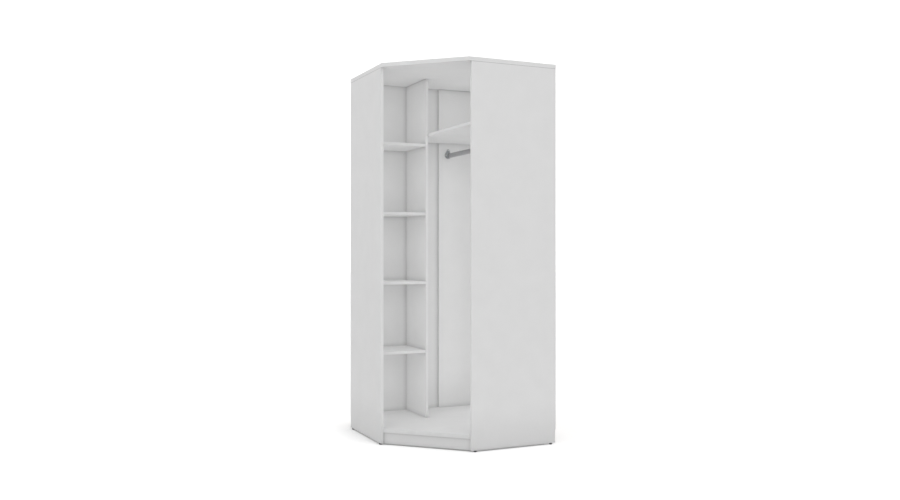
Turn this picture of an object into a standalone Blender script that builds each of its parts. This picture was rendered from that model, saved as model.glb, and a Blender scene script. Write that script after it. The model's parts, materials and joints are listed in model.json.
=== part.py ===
"""A five-sided corner wardrobe, standing open: shelves on the left, a hat shelf and a rail on the right.

Metres, +Z up. The two room walls are the planes X = +WALL and Y = +WALL, the floor is Z = 0, and the
diagonal opening faces -X and -Y. The origin lies on the floor under the middle of the square plan.
"""

import math

import bmesh
import bpy
from mathutils import Matrix, Vector

# Overall size
WIDTH = 0.900
HEIGHT = 2.120
SIDE_DEPTH = 0.523
TOP_OVERHANG = 0.016

# Sheet goods, the gap between pieces that touch, and what the heads of the back's nails take up
BOARD = 0.016
THICK_BOARD = 0.022
BACK_SHEET = 0.003
GAP = 0.0003
NAIL_HEAD = 0.0008

# Heights
FOOT = 0.009
PLINTH_BASE = 0.008
BOTTOM_UNDERSIDE = 0.070
BACK_SHEET_BASE = 0.081
FIRST_SHELF_TOP = 0.492
SHELF_PITCH = 0.407
HAT_SHELF_UNDERSIDE = 1.759
RAIL_HEIGHT = 1.680

# Depths
SHELF_DEPTH = 0.314
SHELF_PLAY = 0.001
CORNER_BOARD_WIDTH = 0.322
RAIL_FROM_WALL = 0.260
PLINTH_SETBACK = 0.008
WALL_PLINTH_INSET = 0.060

# The shelves, counted from the bottom: one ties the uprights together, the others lie on pins
SHELF_COUNT = 4
FIXED_SHELF = 2

# Cam fittings: a bolt screwed into one board's face, and the housing that grips it in the next board
CAM_DISTANCE = 0.034
CAM_RADIUS = 0.0075
CAM_BELOW_BOLT = 0.0045
CAM_SUNK = 0.0005
BOLT_RADIUS = 0.0025
BOLT_THREAD = 0.011
BOLT_COLLAR_RADIUS = 0.0031
BOLT_COLLAR_START = 0.020

# Shelf pins, screws and glides
PIN_RADIUS = 0.0025
PIN_IN_BOARD = 0.009
PIN_OUT = 0.007
PIN_TIP = 0.001
PIN_SETBACK = 0.040
SCREW_RADIUS = 0.00175
SCREW_HEAD_RADIUS = 0.0033
SCREW_HEAD = 0.002
SCREW_LENGTH = 0.013
GLIDE_RADIUS = 0.0077
GLIDE_EDGE = 0.0015
GLIDE_NAIL_RADIUS = 0.0012
GLIDE_NAIL = 0.014
GLIDE_SETBACK = 0.025
GLIDE_SPREAD = 0.100

# Hanging rail and its flanges
RAIL_WIDTH = 0.015
RAIL_DEPTH = 0.030
RAIL_WALL = 0.001
RAIL_END_PLAY = 0.0005
FLANGE_PLATE = 0.003
FLANGE_RADIUS = 0.021
FLANGE_TIP_RADIUS = 0.0065
FLANGE_TIP_RISE = 0.032
FLANGE_CENTRE_RISE = 0.0035
FLANGE_SCREW_SIDE = 0.0148
COLLAR_WALL = 0.0022
COLLAR_DEPTH = 0.014

# Fineness of the round pieces, and how far a cutter runs past the face it opens
SMOOTH_ANGLE = math.radians(40)
FINE_SIDES = 12
COARSE_SIDES = 8
OVERSHOOT = 0.001

# Planes that follow from the sizes above
WALL = WIDTH / 2
SHEET_OUTER = WALL - NAIL_HEAD
REAR = SHEET_OUTER - BACK_SHEET - GAP
INNER = -WALL + BOARD
FRONT = WALL - SIDE_DEPTH
BAY_RIGHT = FRONT - BOARD
TOP_UNDERSIDE = HEIGHT - THICK_BOARD
BOTTOM_TOP = BOTTOM_UNDERSIDE + THICK_BOARD
SHELF_FRONT = WALL - SHELF_DEPTH
CORNER_BOARD_EDGE = WALL - CORNER_BOARD_WIDTH
CORNER_BOARD_FACE = REAR - BOARD
RAIL_X = WALL - RAIL_FROM_WALL
PLINTH_NEAR = WALL - WALL_PLINTH_INSET - BOARD
PLINTH_FAR = PLINTH_NEAR + BOARD

LEFT, RIGHT = Vector((-1, 0, 0)), Vector((1, 0, 0))
TO_FRONT, TO_REAR = Vector((0, -1, 0)), Vector((0, 1, 0))
DOWN, UP = Vector((0, 0, -1)), Vector((0, 0, 1))

# Colour, roughness and metallic value of each finish
FINISHES = {
    "white_laminate": ((0.80, 0.80, 0.80), 0.45, 0.0),
    "back_sheet": ((0.78, 0.78, 0.78), 0.60, 0.0),
    "satin_metal": ((0.56, 0.57, 0.58), 0.35, 1.0),
    "flange_metal": ((0.33, 0.34, 0.35), 0.45, 1.0),
    "zinc": ((0.62, 0.62, 0.60), 0.50, 1.0),
    "black_plastic": ((0.03, 0.03, 0.03), 0.55, 0.0),
}

# The cutter of each board's holes: board name, then layer, to its shape. Holes of a layer never touch.
drillings = {}


def mirrored(point):
    """The same place seen from the other wall: the outline is symmetric about the plane X = Y."""
    return Vector((point[1], point[0], point[2]))


def shelf_top(number):
    """Height of a shelf's top face, counted from the bottom."""
    return FIRST_SHELF_TOP + (number - 1) * SHELF_PITCH


def frame_at(point, x_axis, z_axis):
    """A placement with its origin at a point, from its X and Z directions."""
    x_axis, z_axis = Vector(x_axis), Vector(z_axis)
    turn = Matrix((x_axis, z_axis.cross(x_axis), z_axis)).transposed()
    return Matrix.Translation(point) @ turn.to_4x4()


def along(point, direction):
    """A placement with its Z axis along a direction, for a turned piece."""
    turn = Vector(direction).to_track_quat("Z", "Y").to_matrix()
    return Matrix.Translation(point) @ turn.to_4x4()


# Shapes


def add_prism(shape, outline, low, high):
    """A closed prism on an outline in the XY plane, from one height to another."""
    base = shape.faces.new([shape.verts.new((x, y, low)) for x, y in outline])
    grown = bmesh.ops.extrude_face_region(shape, geom=[base])["geom"]
    raised = [item for item in grown if isinstance(item, bmesh.types.BMVert)]
    bmesh.ops.translate(shape, vec=(0, 0, high - low), verts=raised)


def add_turned(shape, profile, sides, frame=None):
    """A closed turned solid, from (radius, height) points that run from one end of its axis to the other."""
    frame = frame or Matrix.Identity(4)
    angles = [2 * math.pi * (step + 0.5) / sides for step in range(sides)]
    rings = []
    for radius, height in profile:
        places = [Vector((radius * math.cos(a), radius * math.sin(a), height)) for a in angles]
        rings.append([shape.verts.new(frame @ place) for place in places])
    for lower, upper in zip(rings, rings[1:]):
        join_rings(shape, lower, upper)
    shape.faces.new(rings[0])
    shape.faces.new(rings[-1])


def add_tube(shape, outer, inner, length):
    """An open tube along Z between two outlines with the same number of points."""
    rings = []
    for outline, height in ((outer, 0), (outer, length), (inner, length), (inner, 0)):
        rings.append([shape.verts.new((x, y, height)) for x, y in outline])
    for ring, following in zip(rings, rings[1:] + rings[:1]):
        join_rings(shape, ring, following)


def join_rings(shape, ring, following):
    """A band of faces between two rings with the same number of points."""
    for step in range(len(ring)):
        after = (step + 1) % len(ring)
        shape.faces.new((ring[step], ring[after], following[after], following[step]))


def stadium(width, height, steps=6):
    """An upright oval with straight sides and round ends, centred on the origin."""
    radius = width / 2
    rise = height / 2 - radius
    points = []
    for centre, first in ((rise, 0.0), (-rise, math.pi)):
        for step in range(steps + 1):
            angle = first + math.pi * step / steps
            points.append((radius * math.cos(angle), centre + radius * math.sin(angle)))
    return points


def teardrop(radius, tip_radius, rise, steps=6):
    """The outline round a large circle at the origin and a small one above it, with tangent sides."""
    lean = math.asin((radius - tip_radius) / rise)
    points = []
    for step in range(2 * steps + 1):
        angle = math.pi - lean + (math.pi + 2 * lean) * step / (2 * steps)
        points.append((radius * math.cos(angle), radius * math.sin(angle)))
    for step in range(steps + 1):
        angle = lean + (math.pi - 2 * lean) * step / steps
        points.append((tip_radius * math.cos(angle), rise + tip_radius * math.sin(angle)))
    return points


# Objects


def material(slot):
    """The Principled material of a finish, made once."""
    found = bpy.data.materials.get(slot)
    if found:
        return found
    colour, roughness, metallic = FINISHES[slot]
    made = bpy.data.materials.new(slot)
    made.use_nodes = True
    shader = made.node_tree.nodes["Principled BSDF"]
    shader.inputs["Base Color"].default_value = (*colour, 1.0)
    shader.inputs["Roughness"].default_value = roughness
    shader.inputs["Metallic"].default_value = metallic
    return made


def mesh_from(name, shape):
    """A mesh from a bmesh, with its faces pointing out."""
    bmesh.ops.recalc_face_normals(shape, faces=shape.faces)
    mesh = bpy.data.meshes.new(name)
    shape.to_mesh(mesh)
    shape.free()
    return mesh


def place(name, mesh, frame):
    """A named object that shows a mesh at a placement."""
    made = bpy.data.objects.new(name, mesh)
    made.matrix_world = frame
    bpy.context.scene.collection.objects.link(made)
    return made


def cutter(name, shape):
    """A hidden guide for a Boolean, which isn't part of the model."""
    made = place(name, mesh_from(name, shape), Matrix.Identity(4))
    made.hide_render = True
    made.display_type = "WIRE"
    return made


def boolean(target, tool, operation="DIFFERENCE"):
    """Adds an exact Boolean modifier to an object."""
    modifier = target.modifiers.new(tool.name, "BOOLEAN")
    modifier.operation = operation
    modifier.object = tool


def combined(name, base, steps, slot):
    """One mesh from a base shape and a list of (operation, shape), for pieces that share it."""
    body = place(name, mesh_from(name, base), Matrix.Identity(4))
    tools = []
    for operation, shape in steps:
        tools.append(cutter(f"{name}_tool", shape))
        boolean(body, tools[-1], operation)
    evaluated = body.evaluated_get(bpy.context.evaluated_depsgraph_get())
    mesh = bpy.data.meshes.new_from_object(evaluated)
    mesh.name = name
    mesh.materials.clear()
    mesh.materials.append(material(slot))
    for helper in [body, *tools]:
        bpy.data.objects.remove(helper)
    return mesh


def turned_mesh(name, profile, sides, slot):
    """A round piece's mesh, shaded smooth with its corners kept sharp."""
    shape = bmesh.new()
    add_turned(shape, profile, sides)
    mesh = mesh_from(name, shape)
    mesh.materials.append(material(slot))
    mesh.shade_smooth()
    mesh.set_sharp_from_angle(angle=SMOOTH_ANGLE)
    return mesh


def panel(name, outline, low, high, slot="white_laminate"):
    """A board of any outline in plan, with its origin at its middle."""
    xs, ys = [x for x, _ in outline], [y for _, y in outline]
    centre = Vector(((min(xs) + max(xs)) / 2, (min(ys) + max(ys)) / 2, (low + high) / 2))
    shape = bmesh.new()
    local = [(x - centre.x, y - centre.y) for x, y in outline]
    add_prism(shape, local, low - centre.z, high - centre.z)
    mesh = mesh_from(name, shape)
    mesh.materials.append(material(slot))
    return place(name, mesh, Matrix.Translation(centre))


def board(name, low, high, slot="white_laminate"):
    """A rectangular board between two opposite corners."""
    outline = [(low[0], low[1]), (high[0], low[1]), (high[0], high[1]), (low[0], high[1])]
    return panel(name, outline, low[2], high[2], slot)


def drill(name, layer, start, direction, radius, depth, sides=COARSE_SIDES):
    """Notes one round hole of a board, from its mouth inwards."""
    shape = drillings.setdefault(name, {}).setdefault(layer, bmesh.new())
    add_turned(shape, [(radius, -OVERSHOOT), (radius, depth)], sides, along(start, direction))


def cut_drillings():
    """Gives each board its drilled holes, with one cutter for each layer."""
    for name, layers in drillings.items():
        for layer, shape in layers.items():
            boolean(bpy.data.objects[name], cutter(f"{name}_{layer}_cutter", shape))


# Boards


def make_carcass():
    """The two sides, the top, the bottom, the partition and the corner board."""
    low = Vector((-WALL, FRONT, FOOT))
    high = Vector((INNER, REAR, TOP_UNDERSIDE - GAP))
    board("left_side_panel", low, high)
    board("right_side_panel", mirrored(low), mirrored(high))

    lip = FRONT - TOP_OVERHANG
    outline = [(WALL, WALL), (-WALL, WALL), (-WALL, lip), (lip, -WALL), (WALL, -WALL)]
    panel("top_panel", outline, TOP_UNDERSIDE, HEIGHT)

    side = INNER + GAP
    outline = [(REAR, REAR), (side, REAR), (side, FRONT), (FRONT, side), (REAR, side)]
    panel("bottom_panel", outline, BOTTOM_UNDERSIDE, BOTTOM_TOP)

    base, ceiling = BOTTOM_TOP + GAP, TOP_UNDERSIDE - GAP
    board("partition", (BAY_RIGHT, SHELF_FRONT, base), (FRONT, REAR, ceiling))
    board("corner_board", (CORNER_BOARD_EDGE, CORNER_BOARD_FACE, base), (REAR, REAR, ceiling))


def make_plinths():
    """The front plinth under the diagonal edge, and the two boards that carry the rear."""
    ceiling = BOTTOM_UNDERSIDE - GAP
    side = INNER + GAP
    face = INNER + FRONT + PLINTH_SETBACK * math.sqrt(2)
    back = face + BOARD * math.sqrt(2)
    outline = [(side, face - side), (face - side, side), (back - side, side), (side, back - side)]
    panel("front_plinth", outline, PLINTH_BASE, ceiling)
    board("rear_plinth", (side, PLINTH_NEAR, FOOT), (PLINTH_FAR, PLINTH_FAR, ceiling))
    board("side_plinth", (PLINTH_NEAR, side, FOOT), (PLINTH_FAR, PLINTH_NEAR - GAP, ceiling))


def make_backs():
    """The two fibreboard sheets that close the wardrobe towards the walls."""
    inner, ceiling = SHEET_OUTER - BACK_SHEET, TOP_UNDERSIDE - GAP
    high = (SHEET_OUTER, SHEET_OUTER, ceiling)
    board("rear_back_panel", (-WALL, inner, BACK_SHEET_BASE), high, "back_sheet")
    high = (SHEET_OUTER, inner - GAP, ceiling)
    board("side_back_panel", (inner, -WALL, BACK_SHEET_BASE), high, "back_sheet")


def make_shelves():
    """The shelves of the left bay. A loose one has play round it, and slides out towards the front."""
    for number in range(1, SHELF_COUNT + 1):
        play = GAP if number == FIXED_SHELF else SHELF_PLAY
        top = shelf_top(number)
        low = (INNER + play, SHELF_FRONT, top - BOARD)
        board(f"shelf_{number}", low, (BAY_RIGHT - play, REAR - play, top))


def make_hat_shelf():
    """The shelf over the rail, notched round the corner board."""
    left, near = FRONT + GAP, INNER + GAP
    notch_x, notch_y = CORNER_BOARD_EDGE - GAP, CORNER_BOARD_FACE - GAP
    outline = [(left, near), (REAR, near), (REAR, notch_y), (notch_x, notch_y), (notch_x, REAR), (left, REAR)]
    panel("hat_shelf", outline, HAT_SHELF_UNDERSIDE, HAT_SHELF_UNDERSIDE + BOARD)


# Hanging rail


def flange_mesh(screw_places):
    """A flange on its back at the origin: a teardrop plate, and a collar that takes the rail's end."""
    plate, collar, socket, holes = bmesh.new(), bmesh.new(), bmesh.new(), bmesh.new()
    outline = teardrop(FLANGE_RADIUS, FLANGE_TIP_RADIUS, FLANGE_TIP_RISE)
    add_prism(plate, [(x, y + FLANGE_CENTRE_RISE) for x, y in outline], 0, FLANGE_PLATE)
    mouth = FLANGE_PLATE + COLLAR_DEPTH
    bore_width, bore_depth = RAIL_WIDTH + 2 * GAP, RAIL_DEPTH + 2 * GAP
    outline = stadium(bore_width + 2 * COLLAR_WALL, bore_depth + 2 * COLLAR_WALL)
    add_prism(collar, outline, FLANGE_PLATE / 2, mouth)
    add_prism(socket, stadium(bore_width, bore_depth), FLANGE_PLATE, mouth + OVERSHOOT)
    radius = SCREW_RADIUS + GAP
    for x, y in screw_places:
        profile = [(radius, -OVERSHOOT), (radius, FLANGE_PLATE + OVERSHOOT)]
        add_turned(holes, profile, COARSE_SIDES, Matrix.Translation((x, y, 0)))
    steps = [("UNION", collar), ("DIFFERENCE", socket), ("DIFFERENCE", holes)]
    return combined("rail_flange", plate, steps, "flange_metal")


def make_rail():
    """The oval rail, the flange at each of its ends, and their screws."""
    rear_face, front_face = CORNER_BOARD_FACE - GAP, INNER + GAP
    tip = FLANGE_CENTRE_RISE + FLANGE_TIP_RISE
    sideways = FLANGE_SCREW_SIDE
    screw_places = [(0, tip), (sideways, FLANGE_CENTRE_RISE), (-sideways, FLANGE_CENTRE_RISE)]
    flange = flange_mesh(screw_places)
    profile = [
        (SCREW_HEAD_RADIUS / 2, -SCREW_HEAD),
        (SCREW_HEAD_RADIUS, -SCREW_HEAD / 2),
        (SCREW_HEAD_RADIUS, -GAP),
        (SCREW_RADIUS, -GAP),
        (SCREW_RADIUS, SCREW_LENGTH),
    ]
    screw = turned_mesh("rail_screw", profile, COARSE_SIDES, "zinc")

    rear_end = (rear_face, RIGHT, TO_FRONT, "corner_board")
    front_end = (front_face, LEFT, TO_REAR, "right_side_panel")
    for side, (y, across, outward, carrier) in (("rear", rear_end), ("front", front_end)):
        frame = frame_at((RAIL_X, y, RAIL_HEIGHT), across, outward)
        place(f"{side}_rail_flange", flange, frame)
        for number, (x, rise) in enumerate(screw_places, start=1):
            head = frame @ Vector((x, rise, FLANGE_PLATE))
            place(f"{side}_rail_screw_{number}", screw, along(head, -outward))
            entry = frame @ Vector((x, rise, -GAP))
            depth = SCREW_LENGTH - FLANGE_PLATE
            drill(carrier, "bores", entry, -outward, SCREW_RADIUS + GAP, depth)

    seat = FLANGE_PLATE + RAIL_END_PLAY
    tube = bmesh.new()
    outer = stadium(RAIL_WIDTH, RAIL_DEPTH)
    inner = stadium(RAIL_WIDTH - 2 * RAIL_WALL, RAIL_DEPTH - 2 * RAIL_WALL)
    add_tube(tube, outer, inner, rear_face - front_face - 2 * seat)
    mesh = mesh_from("hanging_rail", tube)
    mesh.materials.append(material("satin_metal"))
    mesh.shade_smooth()
    mesh.set_sharp_from_angle(angle=SMOOTH_ANGLE)
    place("hanging_rail", mesh, frame_at((RAIL_X, rear_face - seat, RAIL_HEIGHT), RIGHT, TO_FRONT))


# Fittings


def cam_mesh(thickness):
    """A cam fitting for a board's thickness: the bolt lies along Z, and the housing opens along X."""
    housing, bolt = bmesh.new(), bmesh.new()
    profile = [(CAM_RADIUS, GAP - CAM_BELOW_BOLT), (CAM_RADIUS, thickness / 2 - CAM_SUNK)]
    add_turned(housing, profile, FINE_SIDES, frame_at((0, 0, CAM_DISTANCE), UP, RIGHT))
    profile = [
        (BOLT_RADIUS, -BOLT_THREAD),
        (BOLT_RADIUS, BOLT_COLLAR_START),
        (BOLT_COLLAR_RADIUS, BOLT_COLLAR_START),
        (BOLT_COLLAR_RADIUS, CAM_DISTANCE),
    ]
    add_turned(bolt, profile, COARSE_SIDES)
    name = f"cam_fitting_{thickness * 1000:.0f}mm"
    return combined(name, housing, [("UNION", bolt)], "zinc")


def cam_joints():
    """Each cam fitting: where its joint is, the bolt's way in, the housing's side and the two boards."""
    bottom_middle = BOTTOM_UNDERSIDE + THICK_BOARD / 2
    board_middle = -WALL + BOARD / 2
    joints = []
    for flip, side in ((Vector, "left_side_panel"), (mirrored, "right_side_panel")):
        for y in (FRONT + 0.060, REAR - 0.120):
            joints.append(((flip((INNER, y, bottom_middle)), flip(RIGHT), DOWN), "bottom_panel", side))
            joints.append(((flip((board_middle, y, TOP_UNDERSIDE)), DOWN, flip(RIGHT)), side, "top_panel"))

    middle = (SHELF_FRONT + REAR) / 2
    start = Vector((FRONT - BOARD / 2, middle, TOP_UNDERSIDE))
    joints.append(((start, DOWN, RIGHT), "partition", "top_panel"))

    fixed = f"shelf_{FIXED_SHELF}"
    height = shelf_top(FIXED_SHELF) - BOARD / 2
    for y in (SHELF_FRONT + 0.050, REAR - 0.050):
        joints.append(((Vector((INNER, y, height)), RIGHT, DOWN), fixed, "left_side_panel"))
        joints.append(((Vector((BAY_RIGHT, y, height)), LEFT, DOWN), fixed, "partition"))

    height = HAT_SHELF_UNDERSIDE + BOARD / 2
    for x in (FRONT + 0.060, REAR - 0.060):
        joints.append(((Vector((x, INNER, height)), TO_REAR, UP), "hat_shelf", "right_side_panel"))
    start = Vector(((CORNER_BOARD_EDGE + REAR) / 2, CORNER_BOARD_FACE, height))
    joints.append(((start, TO_FRONT, UP), "hat_shelf", "corner_board"))
    return joints


def make_cams():
    """The cam fittings and the holes they sit in: a pocket, the bolt's bore and its threaded hole."""
    thick_edges = {"bottom_panel"}
    meshes = {thickness: cam_mesh(thickness) for thickness in (BOARD, THICK_BOARD)}
    for number, ((start, inward, opening), edge_board, face_board) in enumerate(cam_joints(), start=1):
        thickness = THICK_BOARD if edge_board in thick_edges else BOARD
        place(f"cam_fitting_{number:02d}", meshes[thickness], frame_at(start, opening, inward))
        drill(face_board, "bores", start, -inward, BOLT_RADIUS + GAP, BOLT_THREAD + GAP)
        drill(edge_board, "bores", start, inward, BOLT_COLLAR_RADIUS + GAP, CAM_DISTANCE)
        mouth = start + inward * CAM_DISTANCE + opening * thickness / 2
        depth = thickness / 2 + CAM_BELOW_BOLT
        drill(edge_board, "pockets", mouth, -opening, CAM_RADIUS + GAP, depth, FINE_SIDES)


def make_pins():
    """Four pins under each loose shelf, two in each upright."""
    profile = [
        (PIN_RADIUS, -PIN_IN_BOARD),
        (PIN_RADIUS, PIN_OUT - PIN_TIP),
        (PIN_RADIUS - PIN_TIP, PIN_OUT),
    ]
    pin = turned_mesh("shelf_pin", profile, COARSE_SIDES, "zinc")
    uprights = ((INNER, RIGHT, "left_side_panel"), (BAY_RIGHT, LEFT, "partition"))
    for number in range(1, SHELF_COUNT + 1):
        if number == FIXED_SHELF:
            continue
        height = shelf_top(number) - BOARD - GAP - PIN_RADIUS
        count = 0
        for x, outward, upright in uprights:
            for y in (SHELF_FRONT + PIN_SETBACK, REAR - PIN_SETBACK):
                count += 1
                start = Vector((x, y, height))
                place(f"shelf_{number}_pin_{count}", pin, along(start, outward))
                drill(upright, "bores", start, -outward, PIN_RADIUS + GAP, PIN_IN_BOARD + GAP)


def make_glides():
    """The nail-in glides under the sides and under the two boards that carry the rear."""
    top = FOOT - GAP
    profile = [
        (GLIDE_RADIUS - GLIDE_EDGE, 0.0),
        (GLIDE_RADIUS, GLIDE_EDGE),
        (GLIDE_RADIUS, top),
        (GLIDE_NAIL_RADIUS, top),
        (GLIDE_NAIL_RADIUS, top + GLIDE_NAIL),
    ]
    glide = turned_mesh("glide", profile, FINE_SIDES, "black_plastic")
    panel_middle, plinth_middle = -WALL + BOARD / 2, PLINTH_NEAR + BOARD / 2
    places = []
    for y in (FRONT + GLIDE_SETBACK, REAR - GLIDE_SETBACK):
        places.append((panel_middle, y, "left_side_panel"))
        places.append((y, panel_middle, "right_side_panel"))
    places.append((-GLIDE_SPREAD, plinth_middle, "rear_plinth"))
    places.append((plinth_middle - GLIDE_SETBACK, plinth_middle, "rear_plinth"))
    places.append((plinth_middle, -GLIDE_SPREAD, "side_plinth"))
    for number, (x, y, carrier) in enumerate(places, start=1):
        place(f"glide_{number}", glide, Matrix.Translation((x, y, 0)))
        drill(carrier, "bores", (x, y, FOOT), UP, GLIDE_NAIL_RADIUS + GAP, GLIDE_NAIL)


def main():
    for leftover in list(bpy.data.objects):
        bpy.data.objects.remove(leftover)
    make_carcass()
    make_plinths()
    make_backs()
    make_shelves()
    make_hat_shelf()
    make_rail()
    make_cams()
    make_pins()
    make_glides()
    cut_drillings()


main()
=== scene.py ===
"""The finish of a five-sided corner wardrobe: surfaces, edge bands, fittings, studio and camera.

Metres, in the row frame: the two room walls are the planes X = 0.45 and Y = 0.45, the floor is
Z = 0, and the diagonal opening faces -X and -Y. The boards are the CAD's own. This script gives them
their surfaces, lays edge bands, caps, nails and brackets on them, and puts finer fittings in place
of the CAD's plain ones.
"""

import json
import math

import bmesh
import bpy
from mathutils import Matrix, Vector


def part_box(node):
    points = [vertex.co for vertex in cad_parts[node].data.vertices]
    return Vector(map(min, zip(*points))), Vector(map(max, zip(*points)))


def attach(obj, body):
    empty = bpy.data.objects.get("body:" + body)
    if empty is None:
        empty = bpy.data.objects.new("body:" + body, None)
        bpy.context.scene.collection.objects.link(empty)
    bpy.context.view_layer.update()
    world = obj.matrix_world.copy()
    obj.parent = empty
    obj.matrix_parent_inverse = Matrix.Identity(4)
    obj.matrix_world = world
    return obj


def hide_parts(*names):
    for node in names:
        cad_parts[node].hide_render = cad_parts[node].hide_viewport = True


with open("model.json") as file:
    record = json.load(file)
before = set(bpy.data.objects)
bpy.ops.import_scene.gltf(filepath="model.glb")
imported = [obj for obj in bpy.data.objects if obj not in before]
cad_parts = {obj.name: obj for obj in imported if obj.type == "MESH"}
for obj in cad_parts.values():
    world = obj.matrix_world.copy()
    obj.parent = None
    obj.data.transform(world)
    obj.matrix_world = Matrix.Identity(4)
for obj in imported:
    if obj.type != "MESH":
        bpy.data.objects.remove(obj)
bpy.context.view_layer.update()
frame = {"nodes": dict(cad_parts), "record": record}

# Camera: level, at chest height, and turned off the wall behind the shelves
EYE = (-2.2270, -4.8517, 1.0844)
HEADING = math.radians(-24.72)
LENS = 36.64

# Light: how strong the surround is and looks, then each sun's direction and strength. The suns are
# hemispheres of light that the boards let through, and so they fill the bays as well as the outside.
SURROUND_LIGHT = 0.647
SURROUND_SEEN = 1.2
FILLS = {
    "fill_from_below": ((0, 0, 1), 0.452),
    "fill_from_above": ((0, 0, -1), 0.449),
    "fill_from_front": ((0, 1, 0), 0.390),
    "fill_from_left": ((1, 0, 0), 0.138),
}
FILL_SPREAD = math.radians(180)

# Floor: its colour, how bright it looks, where the light of its painted shadow comes from, how far
# the wardrobe's painted shadow reaches, and how free of the wardrobe a spot must be to look more
# than dark, and to look fully bright
FLOOR_RADIUS = 40.0
FLOOR_COLOUR = 0.5
FLOOR_SEEN = 0.62
FLOOR_LIT_FROM = (0, -0.7, 0.7)
FLOOR_REACH = 0.30
FLOOR_DARK = 0.34
FLOOR_BRIGHT = 0.80

# Edge bands: a plastic strip over a board's sawn edge, which stands a little past the board
BAND = 0.0010
PROUD = 0.0002
BAND_RADIUS = 0.0006
BAND_STEPS = 4

# Caps over the cam housings, which lie a little below the board's face
CAP_RADIUS = 0.0088
CAP_HEIGHT = 0.0012
CAM_SUNK = 0.0005

# Nails that hold the backs: how far apart, how far in from a sheet's ends, and their size
NAIL_PITCH = 0.130
NAIL_MARGIN = 0.030
NAIL_HEAD_RADIUS = 0.0019
NAIL_HEAD = 0.0007
NAIL_RADIUS = 0.0007
NAIL_LENGTH = 0.016

# Brackets inside the plinth, and how far along its boards they stand from the middle
BRACKET_LEG = 0.026
BRACKET_WIDTH = 0.018
BRACKET_PLATE = 0.0016
BRACKET_HOLE = 0.016
FRONT_BRACKETS = (-0.17, 0.17)
WALL_BRACKETS = (-0.22, 0.16)

# Screws
SCREW_RADIUS = 0.00175
SCREW_HEAD_RADIUS = 0.0033
SCREW_HEAD = 0.002
SCREW_LENGTH = 0.013
THREAD_PITCH = 0.0011
THREAD_START = 0.0015
CROSS_WIDTH = 0.0008
CROSS_LENGTH = 0.0034
CROSS_DEPTH = 0.0011

# Shelf pins and glides
PIN_RADIUS = 0.0025
PIN_TIP = 0.0012
PIN_TIP_TURN = math.radians(80)
GLIDE_RADIUS = 0.0077
GLIDE_EDGE = 0.0018
GLIDE_NAIL_RADIUS = 0.0012
GLIDE_NAIL_POINT = 0.0002

# Rail and flanges
RAIL_WIDTH = 0.015
RAIL_DEPTH = 0.030
RAIL_WALL = 0.001
FLANGE_PLATE = 0.003
FLANGE_RADIUS = 0.021
FLANGE_TIP_RADIUS = 0.0065
FLANGE_TIP_RISE = 0.032
FLANGE_CENTRE_RISE = 0.0035
FLANGE_SCREW_SIDE = 0.0148
FLANGE_ROUND = 0.0006
COLLAR_WALL = 0.0022
COLLAR_DEPTH = 0.014
CLEARANCE = 0.0003

# Painted shade that darkens surfaces towards corners: each step's reach and depth, and how finely it
# is worked out
CORNERS = ((0.250, 0.30), (0.030, 0.35))
CORNER_SAMPLES = 6

# Painted shade: the fine dark line of the joint under the top, down from the top's underside
JOINT_WIDTH = 0.0025
JOINT_SHADE = 0.45

# Fineness of the round pieces, and how near a point lies to a flat end that it belongs to
FINE_SIDES = 32
SMALL_SIDES = 16
NAIL_SIDES = 8
ARC_STEPS = 14
SMOOTH_ANGLE = math.radians(35)
FLAT = 0.0001

LEFT, RIGHT = Vector((-1, 0, 0)), Vector((1, 0, 0))
TO_FRONT, TO_REAR = Vector((0, -1, 0)), Vector((0, 1, 0))
DOWN, UP = Vector((0, 0, -1)), Vector((0, 0, 1))
TO_CORNER = (0.7071, 0.7071, 0.0)

# The numbers of the cam fittings that have caps, by the way that their housings open
CAPPED_CAMS = ((RIGHT, (2, 4, 9)), (TO_REAR, (6, 8)), (DOWN, (10, 11, 12, 13)), (UP, (14, 15, 16)))

CARCASS = "carcass"
BODIES = frame["record"]["behaviour"]["bodies"]
BODY_OF = {node: body for body, nodes in BODIES.items() for node in nodes}
SLOT_OF = {part["node"]: part["material_slot"] for part in frame["record"]["subparts"]}


# Surfaces


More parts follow.
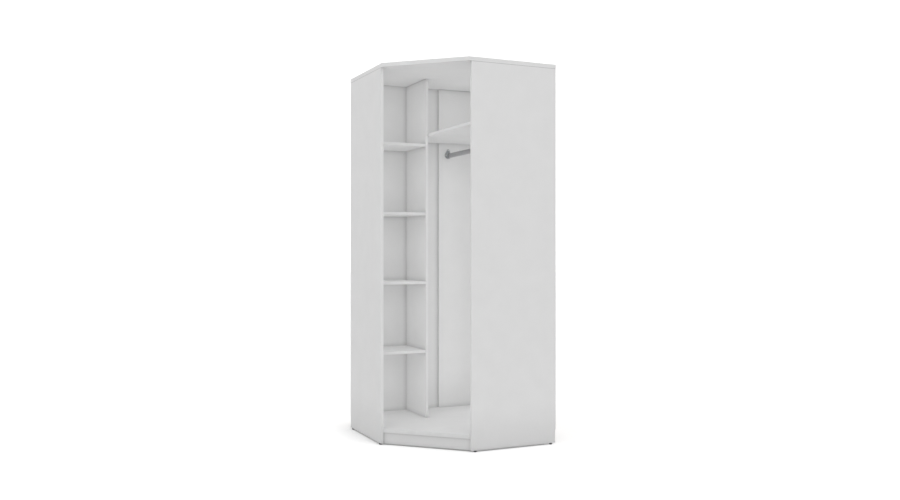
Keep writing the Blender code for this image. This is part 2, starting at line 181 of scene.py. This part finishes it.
class Finish:
    """A Principled material, with short calls for the nodes that vary it over the surface."""

    def __init__(self, name, colour, roughness, metallic=0.0, **sockets):
        self.material = bpy.data.materials.new(name)
        self.material.use_nodes = True
        self.tree = self.material.node_tree
        self.shader = self.tree.nodes["Principled BSDF"]
        self.set("Base Color", (*colour, 1.0))
        self.set("Roughness", roughness)
        self.set("Metallic", metallic)
        for socket, value in sockets.items():
            self.set(socket.replace("_", " "), value)
        self.place = self.node("TexCoord").outputs["Object"]

    def set(self, socket, value):
        """Feeds one of the shader's sockets with a value or with another node's output."""
        self.feed(self.shader.inputs[socket], value)

    def feed(self, socket, value):
        if isinstance(value, bpy.types.NodeSocket):
            self.tree.links.new(value, socket)
        else:
            socket.default_value = value

    def node(self, kind, inputs=None, **settings):
        """A new node with its settings, and its inputs by name or number."""
        made = self.tree.nodes.new("ShaderNode" + kind)
        for setting, value in settings.items():
            setattr(made, setting, value)
        for socket, value in (inputs or {}).items():
            self.feed(made.inputs[socket], value)
        return made

    def stretched(self, scale):
        """The object's own coordinates, multiplied axis by axis."""
        return self.node("Mapping", {"Vector": self.place, "Scale": scale}).outputs["Vector"]

    def noise(self, scale, detail=2.0, place=None):
        """Soft noise, with its scale in waves per metre."""
        inputs = {"Vector": place or self.place, "Scale": scale, "Detail": detail}
        return self.node("TexNoise", inputs).outputs["Fac"]

    def spread(self, value, low, high, start=0.3, end=0.7):
        """A value's range from start to end, mapped to low to high."""
        inputs = {"Value": value, "From Min": start, "From Max": end, "To Min": low, "To Max": high}
        return self.node("MapRange", inputs).outputs["Result"]

    def maths(self, operation, first, second=0.0):
        return self.node("Math", {0: first, 1: second}, operation=operation).outputs[0]

    def mixed(self, share, first, second):
        """One colour that turns into another as share goes from 0 to 1."""
        ramp = self.node("Mix", data_type="RGBA")
        wanted = {"Factor_Float": share, "A_Color": first, "B_Color": second}
        for socket in ramp.inputs:
            value = wanted.get(socket.identifier)
            if isinstance(value, tuple):
                value = (*value, 1.0)
            if value is not None:
                self.feed(socket, value)
        return next(socket for socket in ramp.outputs if socket.identifier == "Result_Color")

    def openness(self, reach, towards=None):
        """How free the surface is within reach, from 0 to 1, round its normal or another vector."""
        inputs = {"Distance": reach}
        if towards:
            inputs["Normal"] = self.node("CombineXYZ", dict(zip("XYZ", towards))).outputs["Vector"]
        return self.node("AmbientOcclusion", inputs, samples=CORNER_SAMPLES).outputs["AO"]

    def painted_corner_shade(self, colour):
        """A colour with painted shade: it darkens where surfaces meet."""
        for reach, depth in CORNERS:
            share = self.spread(self.openness(reach), depth, 0.0, 0.0, 1.0)
            colour = self.mixed(share, colour, grey(0.0))
        return colour

    def painted_joint_shade(self, colour):
        """A colour with the painted shade of the joint: a dark line just under the top."""
        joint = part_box("top_panel")[0].z
        height = self.node("SeparateXYZ", {"Vector": self.place}).outputs["Z"]
        line = self.spread(height, 0.0, JOINT_SHADE, joint - JOINT_WIDTH, joint - JOINT_WIDTH / 2)
        below = self.maths("LESS_THAN", height, joint - FLAT)
        return self.mixed(self.maths("MULTIPLY", line, below), colour, grey(0.0))

    def facing(self, direction):
        """How squarely the surface faces a direction, from -1 to 1."""
        normal = self.node("NewGeometry").outputs["Normal"]
        product = self.node("VectorMath", {0: normal, 1: direction}, operation="DOT_PRODUCT")
        return product.outputs["Value"]

    def relief(self, height, depth, strength=1.0):
        """Bumps the surface by a height from 0 to 1, with its full depth in metres."""
        inputs = {"Height": height, "Distance": depth, "Strength": strength}
        self.set("Normal", self.node("Bump", inputs).outputs["Normal"])


def grey(value):
    return (value, value, value)


def laminate():
    """Satin white melamine, with a fine pearl grain, faint mottling, and painted shade in its
    corners and in the joint under the top.
    """
    finish = Finish("white_laminate", grey(0.80), 0.45, Specular_IOR_Level=0.4)
    mottling = finish.spread(finish.noise(9.0, 3.0), 0.0, 1.0)
    colour = finish.mixed(mottling, grey(0.79), grey(0.81))
    # Painted shade: darker where surfaces meet, and a dark line just under the top
    finish.set("Base Color", finish.painted_joint_shade(finish.painted_corner_shade(colour)))
    smudges = finish.spread(finish.noise(14.0, 4.0), 0.0, 0.06)
    grain = finish.noise(900.0)
    finish.set("Roughness", finish.maths("ADD", finish.spread(grain, 0.40, 0.48), smudges))
    finish.relief(grain, 0.00003)
    return finish.material


def edge_band():
    """White plastic edging, a little smoother than the faces."""
    finish = Finish("edge_band", grey(0.80), 0.38, Specular_IOR_Level=0.45)
    mottling = finish.spread(finish.noise(30.0, 3.0), 0.0, 1.0)
    colour = finish.mixed(mottling, grey(0.79), grey(0.81))
    # Painted shade where surfaces meet
    finish.set("Base Color", finish.painted_corner_shade(colour))
    finish.set("Roughness", finish.spread(finish.noise(400.0, 3.0), 0.33, 0.43))
    finish.relief(finish.noise(600.0), 0.00001)
    return finish.material


def back_sheet():
    """Fibreboard: lacquered white towards the inside, and raw, brown and fibrous outside."""
    finish = Finish("back_sheet", grey(0.78), 0.55)
    mottling = finish.spread(finish.noise(9.0, 3.0), 0.0, 1.0)
    # The white side carries painted shade where surfaces meet
    white = finish.painted_corner_shade(finish.mixed(mottling, grey(0.77), grey(0.79)))
    strands = finish.noise(260.0, 6.0, finish.stretched((1.0, 1.0, 0.35)))
    fibres = finish.spread(strands, 0.0, 1.0, 0.25, 0.75)
    clouds = finish.spread(finish.noise(7.0, 4.0), 0.0, 1.0)
    brown = finish.mixed(fibres, (0.150, 0.078, 0.036), (0.300, 0.175, 0.090))
    brown = finish.mixed(finish.maths("MULTIPLY", clouds, 0.15), brown, (0.360, 0.225, 0.125))
    outside = finish.spread(finish.facing(TO_CORNER), 0.0, 1.0, 0.3, 0.4)
    finish.set("Base Color", finish.mixed(outside, white, brown))
    finish.set("Roughness", finish.spread(outside, 0.50, 0.85, 0.0, 1.0))
    finish.relief(finish.noise(500.0, 4.0), 0.00006)
    return finish.material


def satin_metal():
    """Brushed metal, with fine scratches along the object's own Z, and painted shade where other
    parts are near.
    """
    bright, dull = (0.50, 0.50, 0.51), (0.465, 0.465, 0.4743)
    finish = Finish("satin_metal", bright, 0.24, 1.0, Anisotropic=0.4)
    streaks = finish.noise(160.0, 3.0, finish.stretched((14.0, 14.0, 0.4)))
    brushing = finish.mixed(finish.spread(streaks, 0.0, 1.0), dull, bright)
    # Painted shade where other parts are near, which darkens the rail's top under the hat shelf
    finish.set("Base Color", finish.painted_corner_shade(brushing))
    finish.set("Roughness", finish.spread(streaks, 0.20, 0.28))
    finish.relief(streaks, 0.00001)
    return finish.material


def cast_metal():
    """Grey die-cast metal with a fine sandy skin."""
    finish = Finish("flange_metal", (0.30, 0.31, 0.32), 0.42, 0.9)
    sand = finish.noise(2200.0, 3.0)
    clouds = finish.spread(finish.noise(160.0, 3.0), 0.0, 1.0)
    finish.set("Base Color", finish.mixed(clouds, (0.28, 0.29, 0.30), (0.33, 0.34, 0.35)))
    finish.set("Roughness", finish.spread(sand, 0.36, 0.50))
    finish.relief(sand, 0.00003)
    return finish.material


def zinc():
    """Bright zinc plate, with the faint yellow and blue clouds of its passivation."""
    finish = Finish("zinc", (0.66, 0.66, 0.64), 0.36, 1.0)
    clouds = finish.spread(finish.noise(300.0, 3.0), 0.0, 1.0)
    finish.set("Base Color", finish.mixed(clouds, (0.70, 0.67, 0.58), (0.62, 0.66, 0.69)))
    finish.set("Roughness", finish.spread(finish.noise(1200.0), 0.30, 0.42))
    finish.relief(finish.noise(3000.0), 0.00001)
    return finish.material


def black_plastic():
    """Moulded black plastic with a fine spark-eroded texture."""
    finish = Finish("black_plastic", grey(0.02), 0.5)
    texture = finish.noise(2500.0)
    colour = finish.mixed(finish.spread(texture, 0.0, 1.0), grey(0.016), grey(0.026))
    finish.set("Base Color", colour)
    finish.set("Roughness", finish.spread(texture, 0.42, 0.60))
    finish.relief(texture, 0.00003)
    return finish.material


def white_plastic():
    """The moulded caps over the cam fittings: a shade off the boards, and a little glossier."""
    finish = Finish("white_plastic", grey(0.78), 0.32)
    clouds = finish.spread(finish.noise(120.0, 3.0), 0.0, 1.0)
    # Painted shade where surfaces meet
    finish.set("Base Color", finish.painted_corner_shade(finish.mixed(clouds, grey(0.76), grey(0.80))))
    finish.set("Roughness", finish.spread(finish.noise(1500.0), 0.27, 0.37))
    return finish.material


FINISHES = {
    "white_laminate": laminate(),
    "back_sheet": back_sheet(),
    "satin_metal": satin_metal(),
    "flange_metal": cast_metal(),
    "zinc": zinc(),
    "black_plastic": black_plastic(),
}
EDGE_BAND, CAP_PLASTIC = edge_band(), white_plastic()


def finish_cad():
    """Gives each CAD node the finish of its slot."""
    for node, thing in frame["nodes"].items():
        thing.data.materials.clear()
        thing.data.materials.append(FINISHES[SLOT_OF[node]])


# Shapes


def join_rings(shape, ring, following):
    """A band of faces between two rings with the same number of points."""
    for step in range(len(ring)):
        after = (step + 1) % len(ring)
        shape.faces.new((ring[step], ring[after], following[after], following[step]))


def add_turned(shape, profile, sides, place=None):
    """A closed turned solid along Z, from (radius, height) points that run from end to end."""
    place = place or Matrix.Identity(4)
    angles = [2 * math.pi * step / sides for step in range(sides)]
    rings = []
    for radius, height in profile:
        points = [Vector((radius * math.cos(a), radius * math.sin(a), height)) for a in angles]
        rings.append([shape.verts.new(place @ point) for point in points])
    for ring, following in zip(rings, rings[1:]):
        join_rings(shape, ring, following)
    shape.faces.new(rings[0])
    shape.faces.new(rings[-1])


def add_prism(shape, outline, low, high, place=None):
    """A closed prism on an outline in the XY plane, from one height to another."""
    place = place or Matrix.Identity(4)
    rings = [[shape.verts.new(place @ Vector((x, y, z))) for x, y in outline] for z in (low, high)]
    join_rings(shape, *rings)
    for ring in rings:
        shape.faces.new(ring)


def arc(centre, radius, first, last, steps):
    """Points along an arc, with its angles in radians."""
    angles = [first + (last - first) * step / steps for step in range(steps + 1)]
    return [(centre[0] + radius * math.cos(a), centre[1] + radius * math.sin(a)) for a in angles]


def stadium(width, height):
    """An upright oval with straight sides and round ends, centred on the origin."""
    radius = width / 2
    rise = height / 2 - radius
    upper = arc((0, rise), radius, 0, math.pi, ARC_STEPS)
    return upper + arc((0, -rise), radius, math.pi, 2 * math.pi, ARC_STEPS)


def teardrop(radius, tip_radius, rise, height):
    """The outline round a large circle and a small one above it, with tangent sides."""
    lean = math.asin((radius - tip_radius) / rise)
    lower = arc((0, height), radius, math.pi - lean, 2 * math.pi + lean, 2 * ARC_STEPS)
    return lower + arc((0, height + rise), tip_radius, lean, math.pi - lean, ARC_STEPS)


def along(point, direction):
    """A placement with its Z axis along a direction, for a turned piece."""
    turn = Vector(direction).to_track_quat("Z", "Y").to_matrix()
    return Matrix.Translation(point) @ turn.to_4x4()


def frame_at(point, x_axis, z_axis):
    """A placement with its origin at a point, from its X and Z directions."""
    turn = Matrix((x_axis, z_axis.cross(x_axis), z_axis)).transposed()
    return Matrix.Translation(point) @ turn.to_4x4()


def mesh_of(name, shape, finish):
    """A mesh from a bmesh, with its faces pointing out and its round parts shaded smooth."""
    bmesh.ops.recalc_face_normals(shape, faces=shape.faces)
    mesh = bpy.data.meshes.new(name)
    shape.to_mesh(mesh)
    shape.free()
    mesh.materials.append(finish)
    mesh.shade_smooth()
    mesh.set_sharp_from_angle(angle=SMOOTH_ANGLE)
    return mesh


def combined(name, base, steps, finish, rounding=0.0):
    """A mesh from a base shape and (operation, shape) steps, with its corners rounded last."""
    body = bpy.data.objects.new(name, mesh_of(name, base, finish))
    bpy.context.scene.collection.objects.link(body)
    tools = []
    for operation, shape in steps:
        tool = bpy.data.objects.new(name + "_tool", mesh_of(name + "_tool", shape, finish))
        bpy.context.scene.collection.objects.link(tool)
        modifier = body.modifiers.new(operation, "BOOLEAN")
        modifier.operation = operation
        modifier.object = tool
        tools.append(tool)
    if rounding:
        modifier = body.modifiers.new("rounding", "BEVEL")
        modifier.width = rounding
        modifier.segments = 2
        modifier.limit_method = "ANGLE"
        modifier.angle_limit = SMOOTH_ANGLE
    evaluated = body.evaluated_get(bpy.context.evaluated_depsgraph_get())
    mesh = bpy.data.meshes.new_from_object(evaluated)
    for helper in (body, *tools):
        bpy.data.objects.remove(helper)
    mesh.shade_smooth()
    mesh.set_sharp_from_angle(angle=SMOOTH_ANGLE)
    return mesh


def piece(name, mesh, place, body=CARCASS):
    """A named piece that shows a mesh at a placement and rides on a body."""
    made = bpy.data.objects.new(name, mesh)
    made.matrix_world = place
    bpy.context.scene.collection.objects.link(made)
    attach(made, body)
    return made


def stand_in(node, mesh, place, name=None):
    """A finer piece in place of a CAD node, on the node's own body."""
    made = piece(name or "fine_" + node, mesh, place, BODY_OF[node])
    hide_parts(node)
    return made


def centre_of(node):
    low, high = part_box(node)
    return (low + high) / 2


def end_of(node, way):
    """The middle of the flat end that a turned CAD node shows in a direction."""
    points = [vertex.co for vertex in frame["nodes"][node].data.vertices]
    reach = max(point.dot(way) for point in points)
    rim = [point for point in points if reach - point.dot(way) < FLAT]
    low, high = (Vector([pick(values) for values in zip(*rim)]) for pick in (min, max))
    return (low + high) / 2


# Edge bands


def band_profile(thickness):
    """An edge band's section as (outwards, across) points, with its two outer corners round."""
    half = thickness / 2 + PROUD
    inset = half - BAND_RADIUS
    corner = PROUD - BAND_RADIUS
    lower = arc((corner, -inset), BAND_RADIUS, -math.pi / 2, 0, BAND_STEPS)
    upper = arc((corner, inset), BAND_RADIUS, 0, math.pi / 2, BAND_STEPS)
    return [(-BAND, -half), *lower, *upper, (-BAND, half)]


def add_band(node, path, across, thickness, closed=False):
    """A strip along a path down the middle of a board's edge, which faces along path x across."""
    shape = bmesh.new()
    section = band_profile(thickness)
    count = len(path)
    rings = []
    for step, point in enumerate(path):
        ways = []
        if closed or step > 0:
            ways.append((point - path[step - 1]).normalized().cross(across))
        if closed or step < count - 1:
            ways.append((path[(step + 1) % count] - point).normalized().cross(across))
        mitre = ways[0] if len(ways) == 1 else (ways[0] + ways[1]) / (1 + ways[0].dot(ways[1]))
        corners = [point + mitre * out + across * side for out, side in section]
        rings.append([shape.verts.new(corner) for corner in corners])
    for ring, following in zip(rings, rings[1:]):
        join_rings(shape, ring, following)
    if closed:
        join_rings(shape, rings[-1], rings[0])
    else:
        shape.faces.new(rings[0])
        shape.faces.new(rings[-1])
    name = f"{node}_band"
    piece(name, mesh_of(name, shape, EDGE_BAND), Matrix.Identity(4), BODY_OF[node])


def band_upright(node, facing):
    """The band down an upright board's front edge, which faces along a horizontal axis."""
    low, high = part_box(node)
    across = facing.cross(DOWN)
    edge = centre_of(node) + facing * abs((high - low).dot(facing)) / 2
    path = [Vector((edge.x, edge.y, high.z)), Vector((edge.x, edge.y, low.z))]
    add_band(node, path, across, abs((high - low).dot(across)))


def band_level(node, points, closed=False):
    """The band along a level board's edge, through points in plan."""
    low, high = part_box(node)
    path = [Vector((x, y, (low.z + high.z) / 2)) for x, y in points]
    add_band(node, path, UP, high.z - low.z, closed)


def make_bands():
    """The edge bands: on every edge of the top, and on each front edge of the other boards."""
    band_upright("left_side_panel", TO_FRONT)
    band_upright("right_side_panel", LEFT)
    band_upright("partition", TO_FRONT)
    band_upright("corner_board", LEFT)
    for node in sorted(BODY_OF):
        if node.startswith("shelf_") and "pin" not in node:
            low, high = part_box(node)
            band_level(node, [(low.x, low.y), (high.x, low.y)])

    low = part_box("hat_shelf")[0]
    band_level("hat_shelf", [(low.x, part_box("partition")[0].y), (low.x, low.y)])

    low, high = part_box("top_panel")
    lip = min(v.co.y for v in frame["nodes"]["top_panel"].data.vertices if v.co.x - low.x < FLAT)
    outline = [(low.x, lip), (lip, low.y), (high.x, low.y), (high.x, high.y), (low.x, high.y)]
    band_level("top_panel", outline, closed=True)

    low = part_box("bottom_panel")[0]
    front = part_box("left_side_panel")[0].y
    band_level("bottom_panel", [(low.x, front), (front, low.y)])


# Fittings


def screw_mesh():
    """A pan-head screw with a cross recess: its head lies below Z = 0 and its point along +Z."""
    body = bmesh.new()
    rim = SCREW_HEAD * 0.3
    profile = []
    for angle in range(80, -1, -20):
        lean = math.radians(angle)
        rise = rim + (SCREW_HEAD - rim) * math.sin(lean)
        profile.append((SCREW_HEAD_RADIUS * math.cos(lean), -rise))
    profile += [(SCREW_HEAD_RADIUS, 0.0), (SCREW_RADIUS, 0.0)]
    height = THREAD_START
    while height < SCREW_LENGTH * 0.8:
        profile += [(SCREW_RADIUS * 0.7, height), (SCREW_RADIUS, height + THREAD_PITCH / 2)]
        height += THREAD_PITCH
    profile.append((SCREW_RADIUS * 0.2, SCREW_LENGTH))
    add_turned(body, profile, SMALL_SIDES)
    cuts = []
    for x, y in ((CROSS_LENGTH / 2, CROSS_WIDTH / 2), (CROSS_WIDTH / 2, CROSS_LENGTH / 2)):
        arm = bmesh.new()
        outline = [(-x, -y), (x, -y), (x, y), (-x, y)]
        add_prism(arm, outline, -SCREW_HEAD - CROSS_DEPTH, -SCREW_HEAD + CROSS_DEPTH)
        cuts.append(("DIFFERENCE", arm))
    return combined("screw", body, cuts, FINISHES["zinc"])


def flange_mesh(screw_places):
    """A flange on its back: a teardrop plate, and a collar round the rail's end."""
    plate, collar, socket, holes = bmesh.new(), bmesh.new(), bmesh.new(), bmesh.new()
    outline = teardrop(FLANGE_RADIUS, FLANGE_TIP_RADIUS, FLANGE_TIP_RISE, FLANGE_CENTRE_RISE)
    add_prism(plate, outline, 0, FLANGE_PLATE)
    width, depth = RAIL_WIDTH + 2 * CLEARANCE, RAIL_DEPTH + 2 * CLEARANCE
    mouth = FLANGE_PLATE + COLLAR_DEPTH
    sleeve = stadium(width + 2 * COLLAR_WALL, depth + 2 * COLLAR_WALL)
    add_prism(collar, sleeve, FLANGE_PLATE / 2, mouth)
    add_prism(socket, stadium(width, depth), FLANGE_PLATE, mouth + FLANGE_PLATE)
    radius = SCREW_RADIUS + CLEARANCE
    for x, y in screw_places:
        profile = [(radius, -FLANGE_PLATE), (radius, 2 * FLANGE_PLATE)]
        add_turned(holes, profile, SMALL_SIDES, Matrix.Translation((x, y, 0)))
    steps = [("UNION", collar), ("DIFFERENCE", socket), ("DIFFERENCE", holes)]
    return combined("rail_flange", plate, steps, FINISHES["flange_metal"], FLANGE_ROUND)


def make_rail():
    """The oval rail as a smooth tube, and at each end its flange and three screws."""
    low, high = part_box("hanging_rail")
    middle = centre_of("hanging_rail")
    tube = bmesh.new()
    outer = stadium(RAIL_WIDTH, RAIL_DEPTH)
    inner = stadium(RAIL_WIDTH - 2 * RAIL_WALL, RAIL_DEPTH - 2 * RAIL_WALL)
    rings = []
    length = high.y - low.y
    for outline, height in ((outer, 0), (outer, length), (inner, length), (inner, 0)):
        rings.append([tube.verts.new((x, y, height)) for x, y in outline])
    for ring, following in zip(rings, rings[1:] + rings[:1]):
        join_rings(tube, ring, following)
    start = Vector((middle.x, high.y, middle.z))
    mesh = mesh_of("rail_tube", tube, FINISHES["satin_metal"])
    stand_in("hanging_rail", mesh, frame_at(start, RIGHT, TO_FRONT), "rail_tube")

    tip = FLANGE_CENTRE_RISE + FLANGE_TIP_RISE
    side = FLANGE_SCREW_SIDE
    screw_places = [(0, tip), (side, FLANGE_CENTRE_RISE), (-side, FLANGE_CENTRE_RISE)]
    flange, screw = flange_mesh(screw_places), screw_mesh()
    for end, outward, across in (("rear", TO_FRONT, RIGHT), ("front", TO_REAR, LEFT)):
        node = f"{end}_rail_flange"
        seat = end_of(node, -outward)
        place = frame_at(Vector((middle.x, seat.y, middle.z)), across, outward)
        stand_in(node, flange, place)
        for number, (x, y) in enumerate(screw_places, start=1):
            head = place @ Vector((x, y, FLANGE_PLATE + CLEARANCE / 3))
            stand_in(f"{end}_rail_screw_{number}", screw, along(head, -outward))


def make_pins():
    """The shelf pins, with round tips."""
    for node in sorted(BODY_OF):
        if "_pin_" not in node:
            continue
        shelf = node.split("_pin_")[0]
        outward = RIGHT if centre_of(node).x < centre_of(shelf).x else LEFT
        tip, root = end_of(node, outward), end_of(node, -outward)
        length = (tip - root).length
        shape = bmesh.new()
        centre = (PIN_RADIUS - PIN_TIP, length - PIN_TIP)
        rounded = arc(centre, PIN_TIP, 0, PIN_TIP_TURN, BAND_STEPS)
        add_turned(shape, [(PIN_RADIUS, 0.0), *rounded], SMALL_SIDES)
        stand_in(node, mesh_of(node, shape, FINISHES["zinc"]), along(root, outward))


def make_glides():
    """The nail-in glides, with a round lower edge."""
    shape = bmesh.new()
    lower = arc((GLIDE_RADIUS - GLIDE_EDGE, GLIDE_EDGE), GLIDE_EDGE, -math.pi / 2, 0, BAND_STEPS)
    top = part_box("left_side_panel")[0].z - CLEARANCE
    nail_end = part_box("glide_1")[1].z
    nail = [(GLIDE_NAIL_RADIUS, top), (GLIDE_NAIL_RADIUS, nail_end - GLIDE_EDGE)]
    nail.append((GLIDE_NAIL_POINT, nail_end))
    add_turned(shape, [*lower, (GLIDE_RADIUS, top), *nail], FINE_SIDES)
    mesh = mesh_of("glide", shape, FINISHES["black_plastic"])
    for node in sorted(BODY_OF):
        if node.startswith("glide_"):
            stand_in(node, mesh, along(end_of(node, DOWN), UP))


def make_cam_caps():
    """A plastic cap over each cam housing that opens where it can be reached."""
    shape = bmesh.new()
    flat = CAP_HEIGHT * 0.3
    profile = [(CAP_RADIUS, 0.0), (CAP_RADIUS, flat)]
    for angle in (35, 60, 75, 85):
        lean = math.radians(angle)
        profile.append((CAP_RADIUS * math.cos(lean), flat + (CAP_HEIGHT - flat) * math.sin(lean)))
    add_turned(shape, profile, FINE_SIDES)
    mesh = mesh_of("cam_cap", shape, CAP_PLASTIC)
    for way, numbers in CAPPED_CAMS:
        for number in numbers:
            face = end_of(f"cam_fitting_{number:02d}", way) + way * CAM_SUNK
            piece(f"cam_cap_{number:02d}", mesh, along(face, way))


def nail_rows(sheet, run, boards):
    """Where a back sheet is nailed: up each upright board behind it, and along each level one."""
    low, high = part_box(sheet)
    places = []
    for board in boards:
        first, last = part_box(board)
        upright = last.z - first.z > (last - first).dot(run)
        way = UP if upright else run
        start, end = Vector(map(max, low, first)), Vector(map(min, high, last))
        length = (end - start).dot(way) - 2 * NAIL_MARGIN
        count = max(2, round(length / NAIL_PITCH) + 1)
        for step in range(count):
            places.append((start + end) / 2 + way * (step / (count - 1) - 0.5) * length)
    return places


def make_nails():
    """The nails round the two back sheets, one piece for each sheet."""
    profile = [(NAIL_RADIUS * 0.3, -NAIL_LENGTH), (NAIL_RADIUS, -NAIL_LENGTH * 0.85)]
    profile += [(NAIL_RADIUS, 0.0), (NAIL_HEAD_RADIUS, 0.0), (NAIL_HEAD_RADIUS, NAIL_HEAD * 0.35)]
    profile += [(NAIL_HEAD_RADIUS * 0.75, NAIL_HEAD * 0.8), (NAIL_HEAD_RADIUS * 0.3, NAIL_HEAD)]
    behind_rear = ("left_side_panel", "partition", "corner_board", "bottom_panel", "shelf_2")
    behind_side = ("right_side_panel", "corner_board", "bottom_panel", "hat_shelf")
    sheets = (
        ("rear_back_panel", RIGHT, TO_REAR, behind_rear),
        ("side_back_panel", TO_REAR, RIGHT, behind_side),
    )
    for sheet, run, outward, boards in sheets:
        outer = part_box(sheet)[1].dot(outward)
        shape = bmesh.new()
        for place in nail_rows(sheet, run, boards):
            head = place + outward * (outer - place.dot(outward))
            add_turned(shape, profile, NAIL_SIDES, along(head, outward))
        mesh = mesh_of(f"{sheet}_nails", shape, FINISHES["zinc"])
        piece(f"{sheet}_nails", mesh, Matrix.Identity(4))


def make_brackets():
    """Steel angles that tie the three plinth boards to the bottom panel, with their screws."""
    leg, plate = BRACKET_LEG, BRACKET_PLATE
    outline = [(0, 0), (leg, 0), (leg, -plate), (plate, -plate), (plate, -leg), (0, -leg)]
    angle = bmesh.new()
    add_prism(angle, outline, -BRACKET_WIDTH / 2, BRACKET_WIDTH / 2)
    mesh = combined("bracket", angle, [], FINISHES["zinc"], BRACKET_PLATE * 0.3)
    screw = screw_mesh()
    diagonal = Vector((1, 1, 0)).normalized()
    spots = [(centre_of("front_plinth"), diagonal, shift) for shift in FRONT_BRACKETS]
    for node, inward in (("rear_plinth", TO_FRONT), ("side_plinth", LEFT)):
        low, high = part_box(node)
        near = centre_of(node) + inward * abs((high - low).dot(inward)) / 2
        spots += [(near, inward, shift) for shift in WALL_BRACKETS]
    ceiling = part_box("bottom_panel")[0].z - CLEARANCE / 3
    for number, (point, inward, shift) in enumerate(spots, start=1):
        run = inward.cross(UP)
        corner = point + run * shift + inward * CLEARANCE / 3
        corner.z = ceiling
        place = frame_at(corner, inward, run)
        piece(f"plinth_bracket_{number}", mesh, place)
        screws = (
            ("plinth", (plate, -BRACKET_HOLE, 0), -inward),
            ("bottom", (BRACKET_HOLE, -plate, 0), UP),
        )
        for board, spot, way in screws:
            head = place @ Vector(spot) - way * CLEARANCE / 3
            piece(f"plinth_bracket_{number}_{board}_screw", screw, along(head, way))


# Studio


def make_world():
    """An even pale surround. The camera sees it white, whatever light it gives."""
    world = bpy.data.worlds.new("studio")
    bpy.context.scene.world = world
    world.use_nodes = True
    tree = world.node_tree
    surround = tree.nodes["Background"]
    surround.inputs["Color"].default_value = (1, 1, 1, 1)
    seen = tree.nodes.new("ShaderNodeLightPath")
    strength = tree.nodes.new("ShaderNodeMapRange")
    strength.inputs["To Min"].default_value = SURROUND_LIGHT
    strength.inputs["To Max"].default_value = SURROUND_SEEN
    tree.links.new(seen.outputs["Is Camera Ray"], strength.inputs["Value"])
    tree.links.new(strength.outputs["Result"], surround.inputs["Strength"])


def make_fill(name, direction, strength):
    """A hemisphere of light that shines along a direction, and that nothing blocks."""
    light = bpy.data.lights.new(name, "SUN")
    light.energy = strength
    light.angle = FILL_SPREAD
    light.use_shadow = False
    light.cycles.use_multiple_importance_sampling = False
    lamp = bpy.data.objects.new(name, light)
    lamp.rotation_euler = Vector(direction).to_track_quat("-Z", "Y").to_euler()
    bpy.context.scene.collection.objects.link(lamp)


def make_floor():
    """A wide pale floor, as white as the surround but for a painted soft shadow round the wardrobe.
    """
    shape = bmesh.new()
    bmesh.ops.create_circle(shape, cap_ends=True, segments=FINE_SIDES, radius=FLOOR_RADIUS)
    finish = Finish("floor", grey(FLOOR_COLOUR), 0.9, Emission_Color=(1, 1, 1, 1))
    # Painted shadow: the camera-only glow dims where the wardrobe closes off the space towards
    # FLOOR_LIT_FROM
    openness = finish.openness(FLOOR_REACH, FLOOR_LIT_FROM)
    glow_with_painted_shadow = finish.spread(openness, 0.0, FLOOR_SEEN, FLOOR_DARK, FLOOR_BRIGHT)
    seen = finish.node("LightPath").outputs["Is Camera Ray"]
    finish.set("Emission Strength", finish.maths("MULTIPLY", seen, glow_with_painted_shadow))
    floor = bpy.data.objects.new("floor", mesh_of("floor", shape, finish.material))
    bpy.context.scene.collection.objects.link(floor)


def make_camera():
    data = bpy.data.cameras.new("camera")
    data.lens = LENS
    camera = bpy.data.objects.new("camera", data)
    camera.location = EYE
    camera.rotation_euler = (math.radians(90), 0, HEADING)
    bpy.context.scene.collection.objects.link(camera)
    bpy.context.scene.camera = camera


def make_studio():
    """The surround, the fill light that reaches into the bays, the floor and the camera."""
    make_world()
    for name, settings in FILLS.items():
        make_fill(name, *settings)
    make_floor()
    make_camera()
    bpy.context.scene.view_settings.view_transform = "Standard"


finish_cad()
make_bands()
make_rail()
make_pins()
make_glides()
make_cam_caps()
make_nails()
make_brackets()
make_studio()
